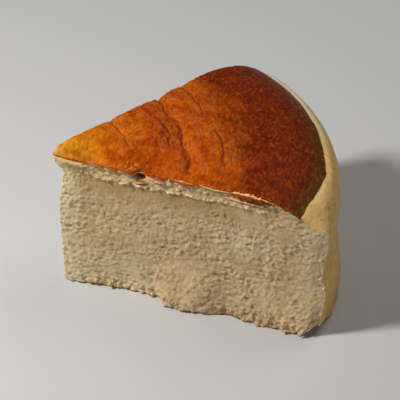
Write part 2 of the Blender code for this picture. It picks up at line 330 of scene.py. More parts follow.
def drift(u, v, seed):
    """Smooth gradient noise in cells of 1: each corner of a cell pulls with its own slope."""
    draw = np.random.default_rng(seed)
    turn = draw.uniform(0.0, 2.0 * math.pi, (256, 256))
    left, low = np.floor(u).astype(int), np.floor(v).astype(int)
    x, y = u - left, v - low
    across, up = x * x * x * (x * (6.0 * x - 15.0) + 10.0), y * y * y * (y * (6.0 * y - 15.0) + 10.0)

    def corner(dx, dy):
        angle = turn[(left + dx) % 256, (low + dy) % 256]
        return np.cos(angle) * (x - dx) + np.sin(angle) * (y - dy)

    bottom = corner(0, 0) + across * (corner(1, 0) - corner(0, 0))
    top = corner(0, 1) + across * (corner(1, 1) - corner(0, 1))
    return 1.5 * (bottom + up * (top - bottom))


def domes(u, v, filled, seed):
    """Round domes, one per filled cell of 1: one minus the squared distance over the dome's
    radius, with each dome's place and radius drawn from the seed."""
    draw = np.random.default_rng(seed)
    shift_u, shift_v = draw.uniform(0.0, 1.0, (2, 256, 256))
    radius = draw.uniform(0.28, 0.62, (256, 256)) * (draw.uniform(0.0, 1.0, (256, 256)) < filled)
    column, row = np.floor(u).astype(int), np.floor(v).astype(int)
    height = np.zeros_like(u)
    for dx in (-1, 0, 1):
        for dy in (-1, 0, 1):
            place = (column + dx) % 256, (row + dy) % 256
            reach = np.maximum(radius[place], 0.001)
            gap_u = u - (column + dx + shift_u[place])
            gap_v = v - (row + dy + shift_v[place])
            dome = 1.0 - (gap_u ** 2 + gap_v ** 2) / reach ** 2
            height = np.maximum(height, np.clip(dome, 0.0, 1.0) * reach)
    return height / 0.62


# The form of the slice

def wrinkle_relief(rho, share):
    """How far the wrinkles sink into the top: a narrow valley each, inside a broad swell."""
    relief = np.zeros_like(rho)
    for path, depth, half in WRINKLES:
        start, end = path[0][0], path[-1][0]
        run = span(share, start, end, WRINKLE_FADE)
        across = (rho - through(path, share)) / half
        valley = np.exp(-np.abs(across) ** VALLEY_POWER)
        swell = hump(across, 0.0, SWELL_HALVES)
        relief -= depth * run * (VALLEY_SHARE * valley + (1.0 - VALLEY_SHARE) * swell)
    return relief


def top_height(rho, share):
    """Height of the top: a level, the lift behind the front cut, the tip, the shoulder's
    quarter ellipse, the corner's dent and the wrinkles."""
    lift = BACK_LIFT * (1.0 - (1.0 - share) ** LIFT_CURVE) * (1.0 - np.exp(-rho / LIFT_START))
    tip = TIP_RISE * np.exp(-rho / TIP_RISE_REACH)
    roll = shoulder_roll(rho)
    drop = SHOULDER_DROP + BACK_EXTRA_DROP * share ** 3
    drop -= FRONT_LESS_DROP * (1.0 - share) ** FRONT_LESS_POWER
    dent = hump(rho, CORNER_DENT_PLACE, CORNER_DENT_REACH) * (1.0 - share) ** CORNER_DENT_POWER
    relief = wrinkle_relief(rho, share) * fall(rho, SHOULDER_START, CAKE_RADIUS)
    rolled = drop * (1.0 - np.sqrt(1.0 - roll ** 2)) + CORNER_DENT * dent
    return TOP_HEIGHT + lift + tip - rolled + relief


def shoulder_roll(rho):
    """How far round the shoulder a distance is: 0 where the top is level, 1 at the rim."""
    return np.clip((rho - SHOULDER_START) / (CAKE_RADIUS - SHOULDER_START), 0.0, 1.0)


def inward(x, y, amount):
    """Move towards the centre of the wedge's inscribed circle, so that each side moves alike."""
    half = 0.5 * SLICE_ANGLE
    centre = CAKE_RADIUS / (1.0 + math.sin(half))
    share = amount / (centre * math.sin(half))
    return x + (centre * math.cos(half) - x) * share, y + (centre * math.sin(half) - y) * share


def slice_points(rho, share, z, front_out=0.0, back_out=0.0, rind_out=0.0):
    """A point of the slice: the plain wedge, then what leans, pinches and frays it, as the
    imported slice has it but with less fray by the tip, where steep waves would turn faces of
    the base over. The last three move it outwards from the two cuts and the rind."""
    angle = SLICE_ANGLE * share
    x, y = rho * np.cos(angle), rho * np.sin(angle)
    front_pull = np.exp(-rho * np.sin(angle) / CUT_DEPTH)
    back_pull = np.exp(-rho * np.sin(SLICE_ANGLE - angle) / CUT_DEPTH)

    low = fall(z, 0.0, FOOT_REACH)
    full = FRAY_BY_TIP + (1.0 - FRAY_BY_TIP) * ease(rho, *FRAY_FULL)
    fray = FRAY * fall(z, 0.0, FRAY_REACH) * full
    bend = CORNER_BEND * ease(rho, CORNER_BEND_FROM, CAKE_RADIUS)
    front = through(FRONT_FOOT, rho) * low + fray * ripple(rho, FRAY_WAVELENGTH, FRONT_FRAY_SEED)
    back = through(BACK_FOOT, rho) * low + fray * ripple(rho, FRAY_WAVELENGTH, BACK_FRAY_SEED)
    front = (front - bend) * front_pull + front_out
    back = back * back_pull + back_out

    waist = WAIST_DEPTH * hump(z, WAIST_HEIGHT, WAIST_REACH)
    folds = FOLD_DEPTH * np.sin(2.0 * math.pi * FOLD_COUNT * share)
    folds *= fall(z, WAIST_HEIGHT, WAIST_HEIGHT + WAIST_REACH)
    chip = CORNER_CHIP * hump(angle, 0.0, CORNER_CHIP_ANGLE) * fall(z, 0.0, CORNER_CHIP_HEIGHT)
    roll = shoulder_roll(rho)
    side = (folds - waist - chip) * ease(rho, RIM_FROM, CAKE_RADIUS) + rind_out * roll
    tip = through(TIP_EDGE, z) * hump(rho, 0.0, TIP_REACH)

    half = 0.5 * SLICE_ANGLE
    x = x + side * np.cos(angle) - tip * math.cos(half) - back * math.sin(SLICE_ANGLE)
    y = y + side * np.sin(angle) - tip * math.sin(half) + back * math.cos(SLICE_ANGLE) - front
    rounding = 1.0 - np.clip(z / EDGE_ROUND, 0.0, 1.0)
    x, y = inward(x, y, EDGE_ROUND * (1.0 - np.sqrt(1.0 - rounding ** 2)))

    # The broken foot of the corner lifts the base there and squeezes what is over it
    broken = ease(rho, CORNER_RISE_FROM, CAKE_RADIUS)
    broken = broken * fall(rho * np.sin(angle), 0.0, CORNER_RISE_ACROSS)
    rise = CORNER_RISE * broken * fall(z, 0.0, CORNER_RISE_HEIGHT)
    height = z + rise + rind_out * np.sqrt(1.0 - roll ** 2)
    return np.stack([x, y, height], axis=-1) + PLACE


# The fine surface

def tear_parts(along, below, seed):
    """The torn band under the skin: how far it runs, where its ledge is, and its relief."""
    ledge = LEDGE_BELOW + LEDGE_WAVE * ripple(along, LEDGE_WAVELENGTH, seed)
    ledge = ledge + 0.35 * MM * drift(along / (1.6 * MM), along / (9.0 * MM), seed + 10)
    run = span(along, TEAR_FROM, TEAR_TO, TEAR_FADE)
    band = ease(below, 0.0, TEAR_TOP) * fall(below, ledge - LEDGE_HALF, ledge)
    broken = 0.6 + 0.4 * ripple(along, LIP_WAVELENGTH, seed + 1)
    ragged = 1.1 + 0.9 * drift(along / (1.3 * MM), below / (2.0 * MM), seed + 11)
    lip_and_light = broken * ragged * hump(below, ledge + 0.8 * LEDGE_HALF, 0.8 * LEDGE_HALF)
    return run, ledge, run * (1.1 * LEDGE_OUT * lip_and_light - 0.3 * TEAR_DEPTH * band), lip_and_light * run


def cut_texture(along, z, below, seed, pore_depth):
    """What the knife left on the crumb: the torn band and its ledge, curds as the sum of two
    sizes of noise, grains as domes, a few torn pores and drag lines. Returns how far it stands
    out, how much painted shade each point gets in the gaps, pores and torn caves, and how much
    painted light: on the ledge's thin edge, the tops of torn chunks, the foot by the tip and the
    smeared patch half way up."""
    run, ledge, relief, lip_and_light = tear_parts(along, below, seed)
    u, v = along / MM, z / MM
    bend_u = u + 0.4 * drift(u / 3.1, v / 3.1, seed + 12)
    bend_v = v + 0.3 * drift(u / 2.7, v / 2.7, seed + 13)
    smeared = run * hump(below, ledge + 3.0 * MM, 2.2 * MM)
    low, foot = fall(z, 4.0 * MM, 24.0 * MM), fall(z, 1.0 * MM, 7.0 * MM)
    open_crumb = 0.88 + 0.7 * drift(u / 8.0, v / 5.5, seed + 4) + 0.45 * foot
    open_crumb = open_crumb * (1.0 - 0.8 * smeared)
    open_crumb = open_crumb * (1.0 + 0.2 * ease(u, 22.0, 52.0) - 0.7 * ease(u, 66.0, 74.0))
    curds = drift(bend_u / 2.2, bend_v / 1.2, seed + 2)
    crumbs = drift(bend_u / 1.0, bend_v / 0.75, seed + 3)
    grains = domes(bend_u / 1.25, bend_v / 0.95, 0.55, seed + 15)
    holes = domes(u / 1.9, v / 1.3, 0.28, seed + 6)
    drag = (0.01 + 0.06 * low) * drift(u / 9.0, v / 1.4, seed + 5)
    drag = drag + 0.10 * hump(u, 50.0, 16.0) * hump(v, 16.0, 8.0) * drift(u / 6.0, v / 0.9, seed + 17)
    swell = 0.10 * drift(u / 5.0, v / 4.0, seed + 14)
    fine = 0.15 * curds + 0.13 * crumbs + 0.26 * grains - pore_depth / MM * holes
    fine = open_crumb * fine + drag + swell

    # Chunks at the foot, where the crumb tore from the cut's end
    foot_chunks = domes(bend_u / 1.9, v / 1.4, 0.8, seed + 16) * fall(z, 1.0 * MM, 5.0 * MM)
    fine = fine + 0.70 * foot_chunks

    # Chunks and caves in the torn band, with its top left to the skin
    torn = ease(below, 0.2 * MM, 1.2 * MM) * fall(below, ledge, ledge + 0.8 * MM) * run
    caves = domes(bend_u / 2.6, bend_v / 1.5, 0.45, seed + 9)
    chunks = domes(bend_u / 1.7, bend_v / 1.2, 0.75, seed + 8)
    rough = 0.36 * chunks - 0.16 * caves
    edge = ease(z, 0.0, 0.4 * MM)
    # Painted shade, darker in the gaps between lumps, in the pores and in the torn band's caves; painted
    # light, lighter on the ledge's edge, the tops of torn chunks, the foot by the tip and the smeared patch
    gaps = np.clip(-0.45 * curds - 0.35 * crumbs - 0.30 * grains, 0.0, 1.0)
    painted_shade = np.maximum(open_crumb * (gaps + 0.5 * holes), 0.4 * torn * caves)
    painted_light = np.maximum(lip_and_light, 0.8 * torn * chunks * (1.0 - caves))
    painted_light = np.maximum(painted_light, FOOT_LIGHT * fall(z, *FOOT_LIGHT_TOP) * fall(along, *FOOT_LIGHT_END))
    painted_light = np.maximum(painted_light, SMEAR_AND_LIGHT * hump(along, *SMEAR_AND_LIGHT_ALONG) * hump(z, *SMEAR_AND_LIGHT_UP))
    return relief + (fine + torn * rough) * edge * MM, np.clip(painted_shade, 0.0, 1.0) * edge, painted_light


def hole_depth(rho, below):
    """The hole under the skin's front edge: a hump along the cut times one down it."""
    place, half, depth = HOLE
    return depth * hump(rho, place, half) * hump(below, *HOLE_BELOW)


def rind_texture(rho, share, z):
    """The pale rind: a roll from the skin's edge to the rim, a half sine that is drawn towards
    the skin, then a fine grain with sparse small pits."""
    around = rho * SLICE_ANGLE * share / MM
    up = (z - rho) / MM
    uneven = 0.06 * drift(around / 4.5, up / 4.0, 61) + 0.07 * drift(around / 1.6, up / 1.4, 62)
    pits = domes(around / 2.4, up / 2.0, 0.25, 63)
    past_skin = rho - skin_reach(share)
    across = np.clip(past_skin / (CAKE_RADIUS - skin_reach(share)), 0.0, 1.0)
    roll = RIND_ROLL * np.sin(math.pi * across ** RIND_ROLL_SKEW)
    shown = ease(past_skin, -1.0 * MM, 1.5 * MM) * ease(z, 0.0, 1.0 * MM)
    return roll + shown * (uneven - 0.07 * pits) * MM, shown * pits


def soften(points, rho, share, below):
    """Wear the edge between the rind and the cuts: sink it and draw it in by the same amount,
    which falls off as e^(-distance from the edge / reach)."""
    fade = ease(rho, *SOFT_EDGE_FROM)
    for turn, side in ((0.0, (0.0, 1.0)), (SLICE_ANGLE, (math.sin(SLICE_ANGLE), -math.cos(SLICE_ANGLE)))):
        gap = rho * np.abs(np.sin(SLICE_ANGLE * share - turn))
        amount = SOFT_EDGE * fade * np.exp(-(gap + np.maximum(below, 0.0)) / SOFT_EDGE_REACH)
        points = points + amount[..., None] * np.array([*side, -1.0])
    return points


def crease_lines(rho, share):
    """Sharp creases in the bottom of each wrinkle and beside it: e^-(distance / half)^1.6 from
    its wandering path, one on the path and fainter, shorter ones on both sides."""
    total = np.zeros_like(rho)
    for index, (path, _, _) in enumerate(WRINKLES):
        start, end = path[0][0], path[-1][0]
        run = span(share, start, end, WRINKLE_FADE)
        for number, (offset, strength) in enumerate(CREASE_SIDES):
            offset = offset * MM
            seed = 300 + 10 * index + number
            wander = 0.45 * MM * ripple(share, 0.37, seed) + 0.14 * MM * ripple(share, 0.08, seed + 50)
            away = rho - through(path, share) - offset - wander
            kept = ease(ripple(share, 0.45, seed + 100), -0.4, 0.4) if offset else 1.0
            total += strength * run * kept * np.exp(-np.abs(away / CREASE_HALF) ** 1.6)
    return np.clip(total, 0.0, 1.0)


def skin_texture(rho, share):
    """The browned skin: sharp creases that follow the wrinkles, short folds beside them, fine
    furrows that run to the rim and a pebbled grain. Returns the height, how deep in a crease
    each point lies, and how far the skin is worn through to the crumb."""
    arc, out = rho * SLICE_ANGLE * share / MM, rho / MM
    lines = crease_lines(rho, share)
    creased = ease(rho, 20.0 * MM, 28.0 * MM) * (1.0 - 0.6 * ease(rho, 44.0 * MM, 58.0 * MM))
    wander = out + 0.5 * drift(arc / 9.0, out / 9.0, 71) + 0.15 * drift(arc / 2.0, out / 2.0, 77)
    folds = drift(arc / 12.0, wander / 1.9, 78)
    short = np.exp(-((folds / 0.06) ** 2)) * ease(drift(arc / 5.0, out / 4.0, 73), 0.0, 0.3) * creased
    pebbles = drift(arc / 1.15, out / 0.95, 75) + 0.6 * drift(arc / 0.75, out / 0.6, 79)
    furrows = drift(arc / 0.9, out / 5.0, 80) * ease(rho, 56.0 * MM, 64.0 * MM)
    sunk = np.clip(lines + 0.6 * short, 0.0, 1.0)
    swell = 0.12 * drift(arc / 9.0, out / 4.0, 76) + 0.22 * creased * folds
    ridges = hump(lines, 0.30, 0.2) * 0.12
    height = swell + 0.06 * pebbles + 0.05 * furrows + ridges - 0.20 * lines - 0.06 * short - 0.12

    speckle = ease(drift(arc / 0.8, out / 0.8, 82), -0.15, 0.5)
    worn = speckle * hump(rho, *WORN_PATCH) * hump(arc * MM, *WORN_ACROSS)
    frayed = ease(drift(arc / 0.6, out / 1.6, 83), 0.0, 0.4) * np.exp(-arc * MM / (0.5 * MM))
    return height * MM, sunk, np.clip(1.4 * worn + 0.7 * frayed, 0.0, 1.0)


# Meshes

def grid_faces(rows, columns, start=0):
    """Quads of a grid of vertices numbered row by row, facing rows times columns."""
    corner = start + (np.arange(rows - 1)[:, None] * columns + np.arange(columns - 1)).ravel()
    return np.stack([corner, corner + columns, corner + columns + 1, corner + 1], axis=-1)


def ring_faces(number):
    """Quads between rings of vertex numbers, one column each, that close on themselves."""
    ahead = np.roll(number, -1, axis=0)
    return np.stack([number[:, :-1], ahead[:, :-1], ahead[:, 1:], number[:, 1:]], axis=-1)


def tube_faces(number):
    """Quads between rings of vertex numbers, one row each, that close on themselves."""
    ahead = np.roll(number, -1, axis=1)
    return np.stack([number[:-1], number[1:], ahead[1:], ahead[:-1]], axis=-1).reshape(-1, 4)


def fan_faces(ring, centre):
    """Triangles from each step of a closed ring of vertex numbers to one centre."""
    return np.stack([ring, np.roll(ring, -1), np.full_like(ring, centre)], axis=-1)


def make_piece(name, materials, points, faces, notes):
    """A mesh object from its materials, a set of points, pairs of a face array and its
    material's place, and one value per point for each note. Doubled points are merged, so that
    patches close up."""
    mesh = bpy.data.meshes.new(name)
    mesh.from_pydata(points, [], [face for group, _ in faces for face in group.tolist()])
    places = np.concatenate([np.full(len(group), place) for group, place in faces])
    mesh.polygons.foreach_set("material_index", places.astype(np.int32))
    for label, values in notes.items():
        layer = mesh.attributes.new(label, "FLOAT", "POINT")
        layer.data.foreach_set("value", np.ascontiguousarray(values, dtype=np.float32).ravel())
    for material in materials:
        mesh.materials.append(material)
    work = bmesh.new()
    work.from_mesh(mesh)
    bmesh.ops.remove_doubles(work, verts=work.verts, dist=MERGE)
    work.to_mesh(mesh)
    work.free()
    mesh.validate()
    mesh.shade_smooth()
    piece = bpy.data.objects.new(name, mesh)
    bpy.context.scene.collection.objects.link(piece)
    return piece


def skin_reach(share):
    """How far from the tip the browned skin reaches, with a slightly uneven edge."""
    uneven = 0.25 * MM * ripple(share, 0.23, 31)
    return through(SKIN_REACH, share) + uneven


def skin_room(rho, share, thickness):
    """How far the crumb's top lies under the outer surface: the skin's thickness, none past it."""
    reach = skin_reach(share)
    return thickness * fall(rho, reach - 2.2 * MM, reach - 0.4 * MM)


def distances(steps):
    """Distances along a cut: even up to the lid's edge, then even steps round the shoulder."""
    flat = np.linspace(0.0, LID_FROM, steps + 1)
    start = math.asin((LID_FROM - SHOULDER_START) / (CAKE_RADIUS - SHOULDER_START))
    turn = np.linspace(start, 0.5 * math.pi, SHOULDER_STEPS + 1)
    curved = SHOULDER_START + (CAKE_RADIUS - SHOULDER_START) * np.sin(turn)
    curved[0], curved[-1] = LID_FROM, CAKE_RADIUS
    return np.concatenate([flat[:-1], curved])


def crumb_patch(rho, share, z, settings):
    """Points of the crumb's outside, with their notes: how deep under the top and how far from
    the tip each one lies, how much painted shade it gets in gaps, pores, pits and the hole, and
    how much painted light on the ledge's edge, torn chunks, the foot by the tip and the smeared patch."""
    below = top_height(rho, share) - z
    front, front_pore_shade, front_lip_and_light = cut_texture(rho, z, below, FRONT_TEAR_SEED, settings.pore_depth)
    back, back_pore_shade, back_lip_and_light = cut_texture(rho, z, below, BACK_TEAR_SEED, settings.pore_depth)
    hole = hole_depth(rho, below)
    # The hole sinks the front cut and gets painted shade, darkest where it is deepest
    front, front_pore_shade = front - hole, front_pore_shade + 2.0 * hole / HOLE[2]
    on_front, on_back = share <= 0.0, share >= 1.0
    rind, pits = rind_texture(rho, share, z)
    rind = np.where(on_front | on_back, 0.5 * rind, rind)
    points = slice_points(rho, share, z, np.where(on_front, front, 0.0), np.where(on_back, back, 0.0), rind)
    points = soften(points, rho, share, below)
    pore_shade = np.where(on_front, front_pore_shade, np.where(on_back, back_pore_shade, pits))
    lip_and_light = np.where(on_front, front_lip_and_light, np.where(on_back, back_lip_and_light, 0.0))
    return points, below, rho, pore_shade, lip_and_light


def build_crumb(settings):
    """The crumb: a wall round the cuts and the side, the shoulder, a fan hidden under the skin
    and a fan for the base."""
    front, back = distances(FRONT_STEPS), distances(BACK_STEPS)
    rim = np.linspace(0.0, 1.0, RIM_STEPS + 1)
    around = np.concatenate([front, np.full(RIM_STEPS - 1, CAKE_RADIUS), back[::-1][:-1]])
    across = np.concatenate([np.zeros(len(front)), rim[1:-1], np.ones(len(back) - 1)])

    # Heights up each column, closer together in the torn band
    top = top_height(around, across) - skin_room(around, across, settings.skin_thickness)
    lower = np.linspace(0.0, 1.0, HEIGHT_STEPS + 1)[:-1] * (top[:, None] - TEAR_ZONE)
    upper = top[:, None] - TEAR_ZONE * np.linspace(1.0, 0.0, TEAR_ROWS + 1)
    z = np.concatenate([lower, upper], axis=1)
    spread = np.ones_like(z)
    wall = crumb_patch(around[:, None] * spread, across[:, None] * spread, z, settings)
    columns = len(around)
    number = np.arange(z.size).reshape(z.shape)
    quads = ring_faces(number)
    place = np.arange(columns)
    on_side = (place >= len(front) - 1) & (place < len(front) - 1 + RIM_STEPS)

    ring = front[FRONT_STEPS:]
    out, turn = np.meshgrid(ring, rim, indexing="ij")
    level = top_height(out, turn) - skin_room(out, turn, settings.skin_thickness)
    shoulder = crumb_patch(out, turn, level, settings)
    start = z.size

    lid = np.concatenate([
        number[:FRONT_STEPS, -1],
        start + np.arange(RIM_STEPS + 1),
        number[columns - BACK_STEPS + 1:, -1],
    ])
    foot = wall[0][:, 0] - PLACE
    flat_x, flat_y = inward(foot[:, 0], foot[:, 1], BASE_MARGIN)
    flat = np.stack([flat_x, flat_y, np.zeros(columns)], axis=-1) + PLACE
    flat_number = start + out.size + np.arange(columns)
    base_strip = ring_faces(np.stack([flat_number, number[:, 0]], axis=-1)).reshape(-1, 4)
    middles = start + out.size + columns
    points = [wall[0].reshape(-1, 3), shoulder[0].reshape(-1, 3), flat, [LID_MIDDLE, BASE_MIDDLE]]
    faces = [
        (quads[~on_side].reshape(-1, 4), 0),
        (quads[on_side].reshape(-1, 4), 1),
        (grid_faces(len(ring), RIM_STEPS + 1, start), 1),
        (fan_faces(lid, middles), 0),
        (base_strip, 2),
        (fan_faces(flat_number[::-1], middles + 1), 2),
    ]
    notes = {
        label: np.concatenate([wall[index].ravel(), shoulder[index].ravel(), np.full(columns + 2, 0.02)])
        for index, label in ((1, "below_top"), (2, "from_tip"), (3, "pore_shade"), (4, "lip_and_light"))
    }
    return np.concatenate(points), faces, notes


def build_skin(settings):
    """The skin: a sheet over the top, a ragged torn edge round it and a fan hidden underneath."""
    rows, columns = SKIN_STEPS
    share = np.linspace(0.0, 1.0, columns + 1)[None, :] * np.ones((rows + 1, 1))
    rho = np.linspace(0.0, 1.0, rows + 1)[:, None] * skin_reach(share)
    relief, sunk, worn = skin_texture(rho, share)
    left = skin_reach(share) - rho
    surface = top_height(rho, share) + SKIN_LIFT + relief * ease(left, 0.0, RELIEF_FADE)
    held = ease(left, *OVERHANG_FADE)
    front, back = (
        held * (settings.skin_overhang * (0.55 + 0.45 * ripple(rho, wavelength, seed)) + LEAST_OVERHANG
                - notch * hump(rho, HOLE[0], NOTCH_HALF)) * np.exp(-rho * np.sin(turn) / OVERHANG_DEPTH)
        for wavelength, seed, notch, turn in (
            (3.1 * MM, 41, NOTCH, SLICE_ANGLE * share),
            (3.6 * MM, 42, 0.0, SLICE_ANGLE * (1.0 - share))))
    sheet = slice_points(rho, share, surface, front, back)
    start = sheet.size // 3

    # The edge goes down from the sheet's outline: front cut, outer edge, back cut
    grid = np.arange(start).reshape(share.shape)
    outline = np.concatenate([grid[:-1, 0], grid[-1, :-1], grid[:0:-1, -1]])
    rho_edge, share_edge = rho.ravel()[outline], share.ravel()[outline]
    on_cut = (share_edge <= 0.0) | (share_edge >= 1.0)
    tip = hump(rho_edge, 4.0 * MM, 5.0 * MM)
    thick = settings.skin_thickness * (1.5 + 0.45 * ripple(rho_edge, 4.3 * MM, 43) + 0.9 * tip)
    thick = np.where(on_cut, thick * fall(rho_edge, *THIN_FROM) + THIN_EDGE, THIN_EDGE)
    depth = np.linspace(0.0, 1.0, EDGE_ROWS + 1)[1:]
    runs = np.clip(0.85 + 0.35 * ripple(rho_edge, 6.5 * MM, 44) + 0.5 * tip, 0.3, 1.2)
    drop = thick[:, None] * depth
    bulge = np.sin(math.pi * depth) * 0.35 - 0.75 * depth ** 2
    push = (bulge * settings.skin_overhang)[None, :] * np.where(on_cut, held.ravel()[outline], 0.0)[:, None]
    spread = np.ones_like(drop)
    out = rho_edge[:, None] * spread
    turn = share_edge[:, None] * spread
    edge = slice_points(out, turn, surface.ravel()[outline][:, None] - drop,
                        front.ravel()[outline][:, None] + np.where(turn <= 0.0, push, 0.0),
                        back.ravel()[outline][:, None] + np.where(turn >= 1.0, push, 0.0))

    # The heat browned it unevenly: further on along the front cut, less behind it
    gap = rho * np.sin(SLICE_ANGLE * share)
    browned = rho + BROWNED_MORE * hump(rho, *BROWNED_MORE_AT) * np.exp(-gap / BROWNED_DEPTH)
    browned = browned - BROWNED_LESS * hump(rho, *BROWNED_LESS_AT) * ease(share, *BROWNED_LESS_SHARE)

    below = np.arange(start, start + drop.size).reshape(drop.shape)
    number = np.concatenate([outline[:, None], below], axis=1)[:, ::-1]
    middle = start + drop.size
    points = np.concatenate([sheet.reshape(-1, 3), edge.reshape(-1, 3), [SKIN_MIDDLE]])
    faces = [
        (grid_faces(rows + 1, columns + 1), 0),
        (ring_faces(number).reshape(-1, 4), 0),
        (fan_faces(number[::-1, 0], middle), 0),
    ]
    notes = {
        "browned": np.concatenate([browned.ravel(), out.ravel(), [0.04]]),
        "to_rind": np.concatenate([left.ravel(), (skin_reach(turn) - out).ravel(), [0.03]]),
        "down": np.concatenate([np.zeros(start), (depth * runs[:, None]).ravel(), [1.0]]),
        "crease": np.concatenate([sunk.ravel(), np.zeros(drop.size), [0.0]]),
        "worn": np.concatenate([worn.ravel(), np.zeros(drop.size), [0.0]]),
    }
    return points, faces, notes


def build_flaps():
    """Loose strips of torn skin along the front cut's top edge: each is a flat ellipse carried
    along the edge, which narrows to nothing at both ends and hangs outwards and down."""
    points, faces, notes = [], [], []
    start = 0
    for row in FLAPS:
        begin, end, depth_begin, depth_end, width, thickness, out = (value * MM for value in row[:7])
        steepness, paleness, torn_edge = row[7:]
        along = np.linspace(0.0, 1.0, FLAP_STEPS + 1)[:, None]
        turn = np.linspace(0.0, 2.0 * math.pi, FLAP_TURNS, endpoint=False)[None, :]
        rho = begin + (end - begin) * along
        full = np.sin(math.pi * along) ** 0.6
        ragged = 1.0 + 0.30 * ripple(rho, 3.7 * MM, int(begin / MM))
        ragged = ragged + 0.35 * drift(rho / (0.8 * MM) + 1.5 * np.cos(turn), 1.5 * np.sin(turn), 95)
        lean = steepness + 0.35 * ripple(rho, 2.9 * MM, int(end / MM))
        across = 0.5 * width * full * ragged * np.cos(turn)
        through_it = 0.5 * thickness * full * np.sin(turn)
        stand = out * full + across * np.cos(lean) + through_it * np.sin(lean)
        rise = through_it * np.cos(lean) - across * np.sin(lean)
        drop = depth_begin + (depth_end - depth_begin) * along
        spread = np.ones_like(across)
        height = top_height(rho * spread, np.zeros_like(spread)) - drop * spread + rise
        strip = slice_points(rho * spread, np.zeros_like(spread), height, stand)
        number = start + np.arange(spread.size).reshape(spread.shape)
        points.append(strip.reshape(-1, 3))
        faces.append(tube_faces(number))
        pale = paleness + (1.0 - paleness) * ease(torn_edge * np.cos(turn), 0.05, 0.6)
        notes.append(np.stack([(rho * spread).ravel(), (pale * spread).ravel()]))
        start += spread.size
    notes = np.concatenate(notes, axis=1)
    return np.concatenate(points), [(np.concatenate(faces), 0)], {
        "browned": notes[0], "down": notes[1], "to_rind": 0.02 + 0.0 * notes[0],
        "crease": 0.0 * notes[0], "worn": 0.0 * notes[0],
    }


# Where a crumb may cling
ON_LEDGE, AT_FOOT, AT_CORNER, AT_TIP, ON_CUT, UNDER_SKIN = range(6)


def bit_places(count):
    """Where crumbs cling: along both ledges, both bottom edges, both corners, the tip's edge,
    the skin's torn edges and, thinly, all over the cuts. Gives each one's distance from the
    tip, cut, height and size."""
    draw = np.random.default_rng(BIT_PLACE_SEED)
    kind = draw.choice(len(BIT_SHARES), size=count, p=BIT_SHARES)
    side = (draw.uniform(size=count) < BITS_AT_BACK).astype(float)
    rho = draw.uniform(3.0, 73.0, count) * MM
    size = draw.uniform(0.22, 0.55, count) * MM
    height = draw.uniform(2.0, 34.0, count) * MM
    top = top_height(rho, side)
    wave = np.where(side > 0.0, ripple(rho, LEDGE_WAVELENGTH, BACK_TEAR_SEED),
                    ripple(rho, LEDGE_WAVELENGTH, FRONT_TEAR_SEED))
    ledge = top - LEDGE_BELOW - LEDGE_WAVE * wave - 0.4 * MM
    height = np.where(kind == ON_LEDGE, ledge + draw.normal(0.0, 0.35, count) * MM, height)
    height = np.where(kind == AT_FOOT, size * 0.8 + draw.exponential(0.9, count) * MM, height)
    rho = np.where((kind == ON_LEDGE) & (rho > TEAR_TO), rho - 20.0 * MM, rho)
    rho = np.where(kind == AT_CORNER, (74.6 - np.abs(draw.normal(0.0, 0.3, count))) * MM, rho)
    rho = np.where(kind == AT_TIP, np.abs(draw.normal(0.0, 0.4, count)) * MM, rho)
    height = np.where(kind >= AT_CORNER, np.minimum(height, top_height(rho, side) - 3.0 * MM), height)
    height = np.where((kind == AT_CORNER) & (height > 24.0 * MM), height - 12.0 * MM, height)
    rho = np.where((kind == UNDER_SKIN) & (rho > TEAR_TO), rho - 30.0 * MM, rho)
    torn = top_height(rho, side) - (0.7 + draw.exponential(0.5, count)) * MM
    height = np.where(kind == UNDER_SKIN, torn, height)
    in_hole = (side < 1.0) & (np.abs(rho - HOLE[0]) < HOLE_CLEAR) & (kind != AT_FOOT)
    rho = np.where(in_hole, rho + 2.0 * HOLE_CLEAR, rho)
    size = np.where(kind == ON_CUT, size * 0.8, size) * np.where(kind == AT_FOOT, 1.3, 1.0)
    return rho, side, np.maximum(height, size * 0.75), size


